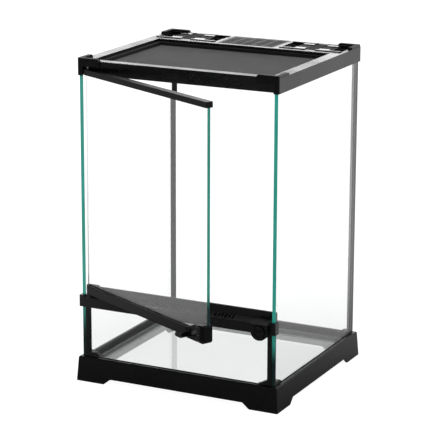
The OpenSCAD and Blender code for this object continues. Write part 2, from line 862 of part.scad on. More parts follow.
// Front view of the hood over the lever's hub and of the ear under it
module hood_outline() {
    top = door_low + latch_h - 2.5;
    polygon([[hub_x - 12, hood_low], [hub_x - 8, top - 1.5], [hub_x - 4, top],
             [door_x - 4, top], [door_x - 2.5, top - 1.5], [door_x - 2.5, hood_low]]);
    polygon([[hub_x - 6, ear_low], [door_x - 2.5, ear_low],
             [door_x - 2.5, ear_low + ear_h], [hub_x - 3, ear_low + ear_h]]);
}

// Plan view of the hood and ear, rounded about the hub
module hood_plan() {
    translate([hub_x, hub_y]) circle(hub_r + 0.7);
    polygon([[hub_x - 12, -face_y], [hub_x, hub_y - hub_r - 0.7], [door_x - 6, hub_y - hub_r - 0.7],
             [door_x - 2.5, hub_y + 1], [door_x - 2.5, -face_y + cut], [hub_x - 12, -face_y + cut]]);
}

module latch_housing() {
    color(plastic) on_door() difference() {
        union() {
            along_y(hinge_y - door_t / 2, hinge_y + door_t / 2) latch_outline();
            intersection() {
                along_y(-face_y - hood_d, -face_y + cut) hood_outline();
                translate([0, 0, door_low]) linear_extrude(latch_h) hood_plan();
            }
        }
        box([latch_x - cut, hinge_y - groove_half, door_pane_low - fit_gap],
            [door_x - end_wall, hinge_y + groove_half, door_low + latch_h + cut]);
        translate([hub_x, hub_y, ear_low - cut])
            cylinder(r = latch_pin_r + pin_gap, h = hood_low + hood_h - ear_low - 1);
        // room for the hub
        translate([hub_x, hub_y, lever_low - run_gap])
            cylinder(r = hub_r + run_gap, h = hood_low - lever_low + run_gap);
    }
}

// Side view of the lever: finger pad, rising arm and hub
module lever_outline() {
    x0 = hub_x - lever_len;
    x1 = x0 + pad_len;
    r = pad_h / 2;
    z0 = door_low + 0.2;
    translate([x0 + r, z0 + r]) circle(r);
    polygon([[x0 + r, z0], [x1, z0], [hub_x - 5, lever_low], [hub_x + hub_r, lever_low],
             [hub_x + hub_r, lever_top], [hub_x - 4, lever_top], [x1 + 1, z0 + pad_h],
             [x0 + r, z0 + pad_h]]);
}

// Plan view of the lever
module lever_plan() {
    x0 = hub_x - lever_len;
    x1 = x0 + pad_len;
    front = -pad_back - pad_t;
    difference() {
        union() {
            translate([x0, front]) square([pad_len, pad_t]);
            polygon([[x1 - 1, front], [x1 + 2, front], [hub_x - hub_r * 0.4, hub_y - hub_r * 0.92],
                     [hub_x, hub_y + hub_r], [hub_x - 2.4, hub_y + 1.8], [x1 - 1, -pad_back]]);
            translate([hub_x, hub_y]) circle(hub_r);
        }
        translate([hub_x, hub_y]) circle(latch_pin_r + pin_gap);
        // finger grooves in the pad's face
        for (i = [0:4]) translate([x0 + 5 + i * 3.2, front]) circle(r = 0.6, $fn = 16);
    }
}

module latch_lever() {
    color(soft_black) on_door() intersection() {
        along_y(-pad_back - pad_t - cut, -face_y) lever_outline();
        translate([0, 0, door_low]) linear_extrude(latch_h) lever_plan();
    }
}

module latch_pin() {
    color(steel) on_door() translate([hub_x, hub_y, ear_low + fit_gap])
        cylinder(r = latch_pin_r, h = hood_low + hood_h - ear_low - 2 - 2 * fit_gap);
}

// ---------------------------------------------------------------- lock

module lock_housing() {
    half = lock_w / 2;
    top = door_low - run_gap;
    color(soft_black) difference() {
        intersection() {
            along_y(-lock_y, -face_y) union() {
                translate([lock_x, lock_z]) circle(half);
                translate([lock_x - half, lock_z]) square([lock_w, top - lock_z]);
            }
            // sloped top
            along_x(lock_x - half, lock_x + half)
                polygon([[-lock_y, bar_z - lock_w], [-lock_y, top - 3.5], [-face_y, top],
                         [-face_y, bar_z - lock_w]]);
        }
        translate([lock_x, -lock_y + knob_seat, lock_z]) rotate([90, 0, 0])
            cylinder(r = knob_r + run_gap, h = knob_seat + cut);
        translate([lock_x, -face_y + cut, lock_z]) rotate([90, 0, 0])
            cylinder(r = shaft_r + pin_gap, h = lock_d + cut);
    }
}

module lock_knob() {
    face = -lock_y - knob_out;
    back = -lock_y + knob_seat - run_gap;
    color(soft_black) difference() {
        union() {
            translate([lock_x, back, lock_z]) rotate([90, 0, 0])
                cylinder(r = knob_r, h = back - face);
            translate([lock_x, -face_y - run_gap, lock_z]) rotate([90, 0, 0])
                cylinder(r = shaft_r, h = -face_y - run_gap - face - cut);
        }
        box([lock_x - knob_r * 0.7, face - cut, lock_z - coin_w / 2],
            [lock_x + knob_r * 0.7, face + coin_d, lock_z + coin_w / 2]);
        // shallow dish round the coin slot
        translate([lock_x, face + coin_d / 3, lock_z]) rotate([90, 0, 0])
            cylinder(r = knob_r - 1.2, h = cut + coin_d);
    }
}

base_frame();
front_block(-1);  // corner_block_fl
front_block(1);  // corner_block_fr
rear_block(-1);  // corner_block_rl
rear_block(1);  // corner_block_rr
bottom_glass();
side_glass(-1);  // left_glass
side_glass(1);  // right_glass
rear_glass();
front_glass();
front_post(-1);  // front_post_left
front_post(1);  // front_post_right
vent_bar();
rear_strip(-1);  // rear_strip_left
rear_strip(1);  // rear_strip_right
top_frame();
front_cap(-1);  // corner_cap_fl
front_cap(1);  // corner_cap_fr
rear_cap(-1);  // corner_cap_rl
rear_cap(1);  // corner_cap_rr
rear_vent_grille();
shutter(-1, 1);  // shutter_left_outer
shutter(-1, -1);  // shutter_left_inner
shutter(1, -1);  // shutter_right_inner
shutter(1, 1);  // shutter_right_outer
screen_frame();
screen_mesh();
door_glass();
door_top_rail();
door_bottom_rail();
hinge_pin_top();
hinge_pin_bottom();
latch_housing();
latch_lever();
latch_pin();
lock_housing();
lock_knob();
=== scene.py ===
import json
import math
import bpy
import bmesh
from mathutils import Matrix, Vector


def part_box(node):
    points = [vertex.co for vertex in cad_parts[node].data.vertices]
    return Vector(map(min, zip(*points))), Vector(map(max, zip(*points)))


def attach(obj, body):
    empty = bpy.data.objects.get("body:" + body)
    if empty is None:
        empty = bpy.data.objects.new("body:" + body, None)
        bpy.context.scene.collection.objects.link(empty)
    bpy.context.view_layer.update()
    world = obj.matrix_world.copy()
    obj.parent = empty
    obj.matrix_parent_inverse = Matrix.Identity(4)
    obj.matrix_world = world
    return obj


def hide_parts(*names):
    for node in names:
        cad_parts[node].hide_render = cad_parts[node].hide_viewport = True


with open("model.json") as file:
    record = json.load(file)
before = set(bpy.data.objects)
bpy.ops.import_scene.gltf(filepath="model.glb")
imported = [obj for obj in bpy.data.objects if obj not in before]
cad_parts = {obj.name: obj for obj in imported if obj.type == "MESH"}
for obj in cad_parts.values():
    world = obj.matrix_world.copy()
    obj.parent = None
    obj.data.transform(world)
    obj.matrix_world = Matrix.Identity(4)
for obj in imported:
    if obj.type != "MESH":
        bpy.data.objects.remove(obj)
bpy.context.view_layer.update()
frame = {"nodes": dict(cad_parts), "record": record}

# lengths are in mm, apart from those of the camera, the materials, the floor and the light,
# which are in metres
MM = 0.001
NODES = frame["nodes"]
BEHAVIOUR = frame["record"]["behaviour"]
BODY_OF = {node: body for body, nodes in BEHAVIOUR["bodies"].items() for node in nodes}
JOINTS = {joint["name"]: joint for joint in BEHAVIOUR["joints"]}

# ---------------------------------------------------------------- camera

SENSOR = 36.0
LENS = 168.509
CAMERA_PLACE = (1.19684, -2.43431, 0.92652)
CAMERA_TURN = (75.3859, -0.1885, 26.3645)

camera_data = bpy.data.cameras.new("camera")
camera_data.lens = LENS
camera_data.sensor_width = SENSOR
camera_data.clip_start = 0.05
camera_data.clip_end = 60.0
camera = bpy.data.objects.new("camera", camera_data)
camera.location = CAMERA_PLACE
camera.rotation_euler = [math.radians(angle) for angle in CAMERA_TURN]
bpy.context.scene.collection.objects.link(camera)
bpy.context.scene.camera = camera
bpy.context.scene.view_settings.view_transform = "Standard"


# ---------------------------------------------------------------- node helpers

class Tree:
    """Short names for building a node tree."""

    def __init__(self, tree):
        self.tree = tree
        tree.nodes.clear()

    def node(self, kind, **settings):
        made = self.tree.nodes.new("ShaderNode" + kind)
        for name, value in settings.items():
            setattr(made, name, value)
        return made

    def link(self, output, socket):
        self.tree.links.new(output, socket)

    def math(self, operation, a, b=None):
        """Each value is a number or another node's output."""
        made = self.node("Math", operation=operation)
        for socket, value in zip(made.inputs, (a, b)):
            if isinstance(value, (int, float)):
                socket.default_value = value
            elif value is not None:
                self.link(value, socket)
        return made.outputs[0]

    def ramp(self, value, lo, hi, out_lo=0.0, out_hi=1.0):
        """Smooth step from one output level to another, between two levels of the value."""
        made = self.node("MapRange", interpolation_type="SMOOTHSTEP")
        self.link(value, made.inputs["Value"])
        made.inputs["From Min"].default_value = lo
        made.inputs["From Max"].default_value = hi
        made.inputs["To Min"].default_value = out_lo
        made.inputs["To Max"].default_value = out_hi
        return made.outputs["Result"]

    def xyz(self, vector):
        made = self.node("SeparateXYZ")
        self.link(vector, made.inputs[0])
        return made.outputs

    def coord(self, name="Object"):
        return self.node("TexCoord").outputs[name]

    def noise(self, vector, scale, detail=3.0, roughness=0.5):
        made = self.node("TexNoise")
        self.link(vector, made.inputs["Vector"])
        made.inputs["Scale"].default_value = scale
        made.inputs["Detail"].default_value = detail
        made.inputs["Roughness"].default_value = roughness
        return made.outputs["Fac"]

    def bump(self, height, strength, distance):
        made = self.node("Bump")
        made.inputs["Strength"].default_value = strength
        made.inputs["Distance"].default_value = distance
        self.link(height, made.inputs["Height"])
        return made.outputs["Normal"]

    def mix(self, factor, a, b):
        """Mixes two colours. Each is a tuple or another node's output."""
        made = self.node("Mix", data_type="RGBA")
        self.link(factor, made.inputs["Factor"])
        for key, value in (("A", a), ("B", b)):
            socket = [s for s in made.inputs if s.name == key and s.type == "RGBA"][0]
            if isinstance(value, tuple):
                socket.default_value = value + (1.0,)
            else:
                self.link(value, socket)
        return [s for s in made.outputs if s.type == "RGBA"][0]


def material(name):
    """New material, with its empty node tree and its output node."""
    made = bpy.data.materials.new(name)
    made.use_nodes = True
    t = Tree(made.node_tree)
    return made, t, t.node("OutputMaterial")


def principled(name, **values):
    """New material with one principled shader, whose inputs are given by their names."""
    made, t, out = material(name)
    shader = t.node("BsdfPrincipled")
    for key, value in values.items():
        shader.inputs[key.replace("_", " ")].default_value = value
    t.link(shader.outputs[0], out.inputs["Surface"])
    return made, t, shader


# ---------------------------------------------------------------- plastics

INNER_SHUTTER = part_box("shutter_right_inner")
OUTER_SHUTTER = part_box("shutter_right_outer")
BAY_X = (INNER_SHUTTER[0].x + OUTER_SHUTTER[1].x) / 2
BAY_Y = (INNER_SHUTTER[0].y + INNER_SHUTTER[1].y) / 2
PANEL_HALF_X = 0.008
PANEL_HALF_Y = 0.025
PANEL_LOW = 0.447
PANEL_TONE = (0.035, 0.035, 0.036)
PANEL_ROUGH = 0.85
GRAIN_DEPTH = 0.0001

BLACK_TONES = ((0.0042, 0.0042, 0.005), (0.006, 0.006, 0.007))
DOOR_TONES = ((0.0045, 0.0045, 0.005), (0.006, 0.006, 0.007))
DEEP_TONES = ((0.0035, 0.0035, 0.004), (0.005, 0.005, 0.006))
SMOOTH_TONES = ((0.005, 0.005, 0.006), (0.007, 0.007, 0.008))
MATTE_TONES = ((0.008, 0.008, 0.009), (0.012, 0.012, 0.013))
SEAL_TONES = ((0.012, 0.012, 0.013), (0.018, 0.018, 0.019))
PAINTED_LIGHT_TONES = ((0.023, 0.023, 0.025), (0.029, 0.029, 0.031))


def shutter_panels(t, where):
    """One on the deck's panels between the two shutters of a bay, and nought elsewhere."""
    x, y, z = t.xyz(where)
    off_x = t.math("ABSOLUTE", t.math("SUBTRACT", t.math("ABSOLUTE", x), BAY_X))
    off_y = t.math("ABSOLUTE", t.math("SUBTRACT", y, BAY_Y))
    inside = t.math("MULTIPLY", t.math("LESS_THAN", off_x, PANEL_HALF_X),
                    t.math("LESS_THAN", off_y, PANEL_HALF_Y))
    return t.math("MULTIPLY", inside, t.math("GREATER_THAN", z, PANEL_LOW))


def plastic(name, tones, rough, spread, grain, grain_size, specular=0.5, panels=None):
    """Moulded plastic: fine grain, slightly uneven gloss, and a paler tone where it is handled.
    Where the panels' function gives one, the plastic is coarse and matte."""
    made, t, shader = principled(name, Specular_IOR_Level=specular)
    where = t.coord()
    broad = t.noise(where, scale=14.0, detail=4.0, roughness=0.6)
    fine = t.noise(where, scale=1.0 / grain_size, detail=2.0, roughness=0.6)
    tone = t.mix(t.ramp(broad, 0.35, 0.7), *tones)
    gloss = t.ramp(broad, 0.3, 0.7, rough, rough + spread)
    if panels is not None:
        inside = panels(t, where)
        tone = t.mix(inside, tone, PANEL_TONE)
        gloss = t.math("MAXIMUM", gloss, t.math("MULTIPLY", inside, PANEL_ROUGH))
    t.link(tone, shader.inputs["Base Color"])
    t.link(gloss, shader.inputs["Roughness"])
    t.link(t.bump(fine, grain, GRAIN_DEPTH), shader.inputs["Normal"])
    return made


BLACK = plastic("black_plastic", BLACK_TONES, rough=0.24, spread=0.08,
                grain=0.25, grain_size=0.0009, specular=0.35)
BASE = plastic("base_plastic", BLACK_TONES, rough=0.26, spread=0.08,
               grain=0.25, grain_size=0.0009, specular=0.22)
MATTE = plastic("matte_black_plastic", MATTE_TONES, rough=0.42, spread=0.1,
                grain=0.5, grain_size=0.0007, specular=0.35)
GLOSS = plastic("gloss_black_plastic", DEEP_TONES, rough=0.13, spread=0.05,
                grain=0.08, grain_size=0.0015, specular=0.35)
DOOR = plastic("door_plastic", DOOR_TONES, rough=0.30, spread=0.08,
               grain=0.3, grain_size=0.0009, specular=0.10)
SMOOTH = plastic("smooth_plastic", SMOOTH_TONES, rough=0.18, spread=0.06,
                 grain=0.1, grain_size=0.0012, specular=0.45)
# painted light: a paler plastic in place of the light that upper faces and rims catch
PAINTED_LIGHT = plastic("painted_light_plastic", PAINTED_LIGHT_TONES, rough=0.5, spread=0.1,
                grain=0.5, grain_size=0.0007, specular=0.4)
LOCK = plastic("lock_plastic", DEEP_TONES, rough=0.2, spread=0.06,
               grain=0.2, grain_size=0.0009, specular=0.3)
CAP = plastic("cap_plastic", DOOR_TONES, rough=0.45, spread=0.08,
              grain=0.4, grain_size=0.0008, specular=0.15)
SEAL = plastic("seal_plastic", SEAL_TONES, rough=0.3, spread=0.1,
               grain=0.3, grain_size=0.001)
FRAME = plastic("top_frame_plastic", BLACK_TONES, rough=0.24, spread=0.08,
                grain=0.25, grain_size=1 / 1100, specular=0.35, panels=shutter_panels)


# ---------------------------------------------------------------- metal and glass

def sheen_painted_wire_material():
    """Black coated wire, painted grey as a painted sheen in place of the light its coating
    catches at a low angle, with a tone and gloss that vary at random.
    """
    made, t, shader = principled("coated_wire_painted_sheen", Specular_IOR_Level=0.3)
    broad = t.noise(t.coord(), scale=30.0)
    # painted sheen: grey colours in place of the black coating's sheen
    tone = t.mix(t.ramp(broad, 0.4, 0.65), (0.160, 0.157, 0.160), (0.186, 0.183, 0.186))
    t.link(tone, shader.inputs["Base Color"])
    t.link(t.ramp(broad, 0.3, 0.7, 0.38, 0.5), shader.inputs["Roughness"])
    return made


def steel_material():
    """Turned steel with fine rings round Z."""
    made, t, shader = principled("pin_steel", Metallic=1.0)
    where = t.coord()
    uneven = t.noise(where, scale=900.0, detail=2.0)
    rings = t.math("SINE", t.math("MULTIPLY", t.xyz(where)[2], 9000.0))
    tone = t.mix(t.ramp(uneven, 0.3, 0.7), (0.50, 0.51, 0.53), (0.62, 0.63, 0.65))
    t.link(tone, shader.inputs["Base Color"])
    t.link(t.ramp(uneven, 0.3, 0.7, 0.22, 0.34), shader.inputs["Roughness"])
    t.link(t.bump(rings, 0.15, 0.00005), shader.inputs["Normal"])
    return made


def glass_material(name, tint):
    """Clear float glass, with a tint that is very faintly uneven."""
    made, t, shader = principled(name, Transmission_Weight=1.0, IOR=1.5, Roughness=0.0)
    dull = tuple(channel * 0.996 for channel in tint)
    broad = t.noise(t.coord(), scale=3.0, detail=2.0)
    t.link(t.mix(broad, tint, dull), shader.inputs["Base Color"])
    return made


def edge_material(name, deep, light, shade=None):
    """Ground and polished glass edge, streaked along its height. The shade is painted shade
    where black plastic stands behind the edge: a lower and an upper height and a colour; the edge
    takes the colour below them and loses it between them."""
    made, t, shader = principled(name, Specular_IOR_Level=0.3)
    where = t.coord()
    squash = t.node("VectorMath", operation="MULTIPLY")
    t.link(where, squash.inputs[0])
    squash.inputs[1].default_value = (1.0, 1.0, 0.06)
    streak = t.noise(squash.outputs[0], scale=420.0)
    broad = t.noise(where, scale=9.0, detail=2.0)
    tone = t.mix(t.ramp(t.math("MULTIPLY", streak, broad), 0.12, 0.4), deep, light)
    if shade is not None:
        # painted shade: the edge darkens below a height, where black plastic stands behind it
        low, high, colour = shade
        tone = t.mix(t.ramp(t.xyz(where)[2], low, high), colour, tone)
    t.link(tone, shader.inputs["Base Color"])
    t.link(t.ramp(streak, 0.3, 0.7, 0.2, 0.34), shader.inputs["Roughness"])
    return made


def bead_and_reflection_material():
    """Clear bonding bead under the bottom pane, pale and slightly milky; its pale colour is also
    painted reflection, in place of the pale band of reflected light under the pane.
    """
    made, t, shader = principled("bonding_bead_and_painted_reflection", Specular_IOR_Level=0.4)
    broad = t.noise(t.coord(), scale=35.0, detail=4.0)
    tone = t.mix(t.ramp(broad, 0.35, 0.7), (0.95, 0.98, 0.97), (0.97, 0.99, 0.985))
    t.link(tone, shader.inputs["Base Color"])
    t.link(t.ramp(broad, 0.3, 0.7, 0.3, 0.42), shader.inputs["Roughness"])
    return made


STEEL = steel_material()
SHEEN_PAINTED_WIRE = sheen_painted_wire_material()
PANE = glass_material("pane_glass", (0.992, 0.999, 0.996))
FLOOR_PANE = glass_material("bottom_pane_glass", (0.98, 0.997, 0.992))
# colours of the painted shade on the glass edges, low down where black plastic stands behind them
PAINTED_SHADE_EDGE = (0.006, 0.022, 0.020)
PAINTED_SHADE_DOOR_EDGE = (0.008, 0.036, 0.037)
EDGE_LEFT = edge_material("left_glass_edge", (0.060, 0.50, 0.39), (0.090, 0.59, 0.48),
                          (0.062, 0.128, PAINTED_SHADE_EDGE))
EDGE_RIGHT = edge_material("right_glass_edge", (0.046, 0.54, 0.42), (0.066, 0.64, 0.51),
                           (0.064, 0.108, PAINTED_SHADE_EDGE))
EDGE_DOOR = edge_material("door_glass_edge", (0.029, 0.36, 0.27), (0.048, 0.44, 0.34),
                          (0.168, 0.194, PAINTED_SHADE_DOOR_EDGE))
EDGE_PLAIN = edge_material("bonded_glass_edge", (0.045, 0.052, 0.050), (0.07, 0.08, 0.077))
EDGE_PALE = edge_material("pale_glass_edge", (0.55, 0.62, 0.60), (0.68, 0.74, 0.72))
BEAD_AND_PAINTED_REFLECTION = bead_and_reflection_material()


# ---------------------------------------------------------------- piece helpers

SHARP_ANGLE = 38.0
BEVEL_ANGLE = 28.0
FLAT_ANGLE = 0.6
MERGE_DISTANCE = 0.002
# a face looks along an axis when this much of its normal does
SQUARE = 0.99
ARRIS = 0.2
# the materials of a pane, in their order
PANE_FACE, SHOWN_EDGE, OTHER_EDGE, BONDED_FACE = range(4)


def finish_piece(obj, node):
    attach(obj, BODY_OF[node])
    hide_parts(node)
    return obj


def box_mm(node):
    lo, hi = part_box(node)
    return [v / MM for v in lo], [v / MM for v in hi]


def object_from(bm, name):
    """Object with the bmesh's shape. The bmesh is used up."""
    mesh = bpy.data.meshes.new(name)
    bm.to_mesh(mesh)
    bm.free()
    obj = bpy.data.objects.new(name, mesh)
    bpy.context.scene.collection.objects.link(obj)
    return obj


def evaluated(obj):
    """The object's mesh with its modifiers applied."""
    bpy.context.view_layer.update()
    graph = bpy.context.evaluated_depsgraph_get()
    made = bpy.data.meshes.new_from_object(obj.evaluated_get(graph))
    obj.modifiers.clear()
    return made


def shade(obj):
    """Smooth shading over the small faces of an edge, with the large faces kept flat."""
    for face in obj.data.polygons:
        face.use_smooth = True
    obj.data.set_sharp_from_angle(angle=math.radians(SHARP_ANGLE))
    mod = obj.modifiers.new("flat_faces", "WEIGHTED_NORMAL")
    mod.mode = "FACE_AREA"
    mod.weight = 100
    mod.keep_sharp = True
    obj.data = evaluated(obj)


def own_shape(node):
    """A copy of the node's own shape, with its flat faces joined up."""
    bm = bmesh.new()
    bm.from_mesh(NODES[node].data)
    bmesh.ops.remove_doubles(bm, verts=bm.verts, dist=MERGE_DISTANCE * MM)
    bmesh.ops.dissolve_limit(bm, angle_limit=math.radians(FLAT_ANGLE), verts=bm.verts,
                             edges=bm.edges)
    return object_from(bm, node + "_moulded")


def prism(name, points, axis, lo, hi):
    """Solid with the outline points, extruded along an axis from lo to hi, all in mm. The
    points are given in the two other axes, in their order."""
    others = [i for i in range(3) if i != axis]
    bm = bmesh.new()
    rows = []
    for level in (lo, hi):
        row = []
        for point in points:
            co = [0.0, 0.0, 0.0]
            co[axis] = level * MM
            for i, v in zip(others, point):
                co[i] = v * MM
            row.append(bm.verts.new(co))
        rows.append(row)
    count = len(points)
    for i in range(count):
        j = (i + 1) % count
        bm.faces.new((rows[0][i], rows[0][j], rows[1][j], rows[1][i]))
    bm.faces.new(rows[0])
    bm.faces.new(rows[1])
    bmesh.ops.recalc_face_normals(bm, faces=bm.faces)
    return object_from(bm, name)


def ring(name, outline_node, section):
    """Ring with mitred corners. The section's points are an inset from the node's outline and
    a height, in mm."""
    lo, hi = box_mm(outline_node)
    bm = bmesh.new()
    loops = []
    for inset, z in section:
        x0, y0, x1, y1 = lo[0] + inset, lo[1] + inset, hi[0] - inset, hi[1] - inset
        loops.append([bm.verts.new((x * MM, y * MM, z * MM))
                      for x, y in ((x0, y0), (x1, y0), (x1, y1), (x0, y1))])
    for a, b in zip(loops, loops[1:] + loops[:1]):
        for i in range(4):
            j = (i + 1) % 4
            bm.faces.new((a[i], a[j], b[j], b[i]))
    bmesh.ops.recalc_face_normals(bm, faces=bm.faces)
    return object_from(bm, name)


def arc(centre, radius, start, end, steps):
    """Points on an arc, with its angles in degrees."""
    turn = [math.radians(start + (end - start) * i / steps) for i in range(steps + 1)]
    return [(centre[0] + radius * math.cos(a), centre[1] + radius * math.sin(a)) for a in turn]


def circle(centre, radius, count):
    """A number of points evenly round a circle."""
    return arc(centre, radius, 0.0, 360.0 - 360.0 / count, count - 1)


def s_curve(x0, z0, x1, z1, steps=14):
    """Points of an S-shaped edge that falls from one level to another."""
    return [(x0 + (x1 - x0) * i / steps, z0 + (z1 - z0) * (1 - math.cos(math.pi * i / steps)) / 2)
            for i in range(steps + 1)]


def combine(obj, operation, other):
    """Boolean of two solids. The second is used up."""
    mod = obj.modifiers.new("shape", "BOOLEAN")
    mod.operation = operation
    mod.solver = "EXACT"
    mod.object = other
    obj.data = evaluated(obj)
    bpy.data.objects.remove(other)


def moulded(obj, node, mat, width, place=None, segments=2):
    """Rounds a solid's hard edges by a width in mm, and makes it a piece of the node."""
    mod = obj.modifiers.new("edges", "BEVEL")
    mod.width = width * MM
    mod.segments = segments
    mod.limit_method = "ANGLE"
    mod.angle_limit = math.radians(BEVEL_ANGLE)
    mod.use_clamp_overlap = True
    obj.data = evaluated(obj)
    shade(obj)
    if place is not None:
        obj.data.transform(place)
    obj.data.materials.clear()
    obj.data.materials.append(mat)
    return finish_piece(obj, node)


def bevelled(node, mat, width, segments=2):
    """The node's own shape with its hard edges rounded, as moulded plastic has them."""
    return moulded(own_shape(node), node, mat, width, segments=segments)


def paint(obj, mat, chosen):
    """Gives the chosen faces of a piece another material."""
    obj.data.materials.append(mat)
    for face in obj.data.polygons:
        if chosen(face):
            face.material_index = len(obj.data.materials) - 1


def faces_up(least):
    """Choice of the faces whose normals point up by at least this much."""
    return lambda face: face.normal.z > least


def pane(node, lo, hi, glass, edges, place=None, rim=0.0):
    """A pane with arrised edges, between two corners in mm. The edges are a direction, the
    material of the edge faces that look that way, and the material of the others. With a rim,
    the lower face is bonded along a border of that width, in the pale bead colour that is also
    painted reflection."""
    lo, hi = Vector(lo) * MM, Vector(hi) * MM
    size = hi - lo
    thin = min(range(3), key=lambda i: size[i])
    shown_way, shown, others = edges
    bm = bmesh.new()
    bmesh.ops.create_cube(bm, size=1.0)
    for v in bm.verts:
        v.co = Vector([(lo[i] + hi[i]) / 2 + v.co[i] * size[i] for i in range(3)])
    bmesh.ops.bevel(bm, geom=list(bm.edges), offset=ARRIS * MM, segments=1, profile=0.5,
                    affect="EDGES", clamp_overlap=True)
    bonded = []
    if rim:
        under = [f for f in bm.faces if f.normal.z < -SQUARE]
        bonded = bmesh.ops.inset_region(bm, faces=under, thickness=rim * MM)["faces"]
    bm.normal_update()
    for f in bm.faces:
        if abs(f.normal[thin]) > SQUARE:
            f.material_index = BONDED_FACE if f in bonded else PANE_FACE
        else:
            f.material_index = SHOWN_EDGE if f.normal.dot(shown_way) > 0.5 else OTHER_EDGE
    if place is not None:
        bm.transform(place)
    obj = object_from(bm, node + "_pane")
    for mat in (glass, shown, others, BEAD_AND_PAINTED_REFLECTION):
        obj.data.materials.append(mat)
    finish_piece(obj, node)


# ---------------------------------------------------------------- panes

FRONT = Vector((0, -1, 0))
FREE_END = Vector((1, 0, 0))
UP = Vector((0, 0, 1))
BOND_W = 6.0
PANE_RISE = 6.2
UPRIGHT_GROW = 0.35

for node, edges, grow in (("left_glass", (FRONT, EDGE_LEFT, EDGE_PLAIN), UPRIGHT_GROW),
                          ("right_glass", (FRONT, EDGE_RIGHT, EDGE_PLAIN), UPRIGHT_GROW),
                          ("rear_glass", (UP, EDGE_PLAIN, EDGE_PLAIN), 0.0),
                          ("front_glass", (UP, EDGE_PLAIN, EDGE_PLAIN), 0.0)):
    lo, hi = box_mm(node)
    pane(node, (lo[0] - grow, lo[1], lo[2]), (hi[0] + grow, hi[1], hi[2]), PANE, edges)

FLOOR_LO, FLOOR_HI = box_mm("bottom_glass")
pane("bottom_glass", (FLOOR_LO[0], FLOOR_LO[1], FLOOR_LO[2] + PANE_RISE),
     (FLOOR_HI[0], FLOOR_HI[1], FLOOR_HI[2] + PANE_RISE),
     FLOOR_PANE, (UP, EDGE_PALE, EDGE_PALE), rim=BOND_W)

# one turn opens the shut door as far as in the photo, and the other shuts it again
HINGE = Vector(JOINTS["door_hinge"]["pos_m"])
DOOR_ANGLE = math.radians(-JOINTS["door_hinge"]["range_deg"][0])
DOOR_TURN = (Matrix.Translation(HINGE) @ Matrix.Rotation(-DOOR_ANGLE, 4, "Z")
             @ Matrix.Translation(-HINGE))
DOOR_SHUT = DOOR_TURN.inverted()


def shut_box(node):
    """Box of a piece of the door with the door shut, in mm."""
    points = [DOOR_SHUT @ v.co for v in NODES[node].data.vertices]
    return ([min(p[i] for p in points) / MM for i in range(3)],
            [max(p[i] for p in points) / MM for i in range(3)])


pane("door_glass", *shut_box("door_glass"), PANE, (FREE_END, EDGE_DOOR, PANE), DOOR_TURN)


# ---------------------------------------------------------------- moulded pieces

GRIP_HALF = 9.0
LEDGE_AREA = 1.0


def shutter_ends(face):
    """Upper faces of a shutter on either side of its grip."""
    return face.normal.z > 0.9 and abs(face.center.y - BAY_Y) > GRIP_HALF * MM


def bar_ledge(face):
    """The vent bar's sloping ledge between the slots."""
    return face.normal.z > 0.5 and face.normal.y < -0.05 and face.area > LEDGE_AREA * MM * MM


for corner in ("fl", "fr", "rl", "rr"):
    bevelled("corner_block_" + corner, BLACK, 0.5)
    cap = bevelled("corner_cap_" + corner, BASE, 0.4)
    paint(cap, CAP, faces_up(0.97))
for side in ("left", "right"):
    bevelled("front_post_" + side, BLACK, 0.3)
    bevelled("rear_strip_" + side, SEAL, 0.3)
    for way in ("outer", "inner"):
        shutter = bevelled("shutter_%s_%s" % (side, way), MATTE, 0.2, 1)
        paint(shutter, SMOOTH, shutter_ends)

base = bevelled("base_frame", BASE, 0.5)
vent_bar = bevelled("vent_bar", BLACK, 0.3)
# painted light: the ledge between the slots is paler, in place of the light it catches
paint(vent_bar, PAINTED_LIGHT, bar_ledge)
bevelled("top_frame", FRAME, 0.45)
bevelled("rear_vent_grille", MATTE, 0.1)
for rail in ("door_top_rail", "door_bottom_rail"):
    bevelled(rail, DOOR, 0.5)
lock_housing = bevelled("lock_housing", LOCK, 0.6)
# painted light: the housing's upward faces are paler, lighter on top as light falls
paint(lock_housing, PAINTED_LIGHT, faces_up(0.3))

KNOB_RIM = 2.2
DISH_DEPTH = 1.4
BAR_HALF = 1.3
BAR_REACH = 0.6
BAR_TOP = 0.3
BAR_FOOT = 1.9


def lock_knob():
    """Knob with a dished face, a bar across the dish and a rim painted paler as a painted
    highlight. Depths are from the knob's face."""
    lo, hi = box_mm("lock_knob")
    face_y = lo[1]
    mid = ((lo[0] + hi[0]) / 2, (lo[2] + hi[2]) / 2)
    dish_r = (hi[0] - lo[0]) / 2 - KNOB_RIM
    end = dish_r + BAR_REACH
    knob = own_shape("lock_knob")
    combine(knob, "DIFFERENCE", prism("dish", circle(mid, dish_r, 36), 1,
                                      face_y - 1.0, face_y + DISH_DEPTH))
    bar = [(mid[0] + x, mid[1] + z) for x, z in ((-end, -BAR_HALF), (end, -BAR_HALF),
                                                 (end, BAR_HALF), (-end, BAR_HALF))]
    combine(knob, "UNION", prism("bar", bar, 1, face_y + BAR_TOP, face_y + BAR_FOOT))
    moulded(knob, "lock_knob", LOCK, 0.3)

    def on_rim(face):
        off = math.hypot(face.center.x / MM - mid[0], face.center.z / MM - mid[1])
        return face.normal.y < -0.5 and off > dish_r + 0.2

    # painted highlight: the rim's front faces take the paler plastic
    paint(knob, PAINTED_LIGHT, on_rim)


lock_knob()

# the pins keep the shapes that they have in the CAD
for node in ("hinge_pin_top", "hinge_pin_bottom", "latch_pin"):
    mesh = NODES[node].data
    mesh.materials.clear()
    mesh.materials.append(STEEL)


# ---------------------------------------------------------------- raised seats

SCREEN_RISE = 8.4
MIDDLE_INSET = 2.0
SIDE_REACH = 12.0
CAD_SCREEN_LOW = box_mm("screen_frame")[0][2]


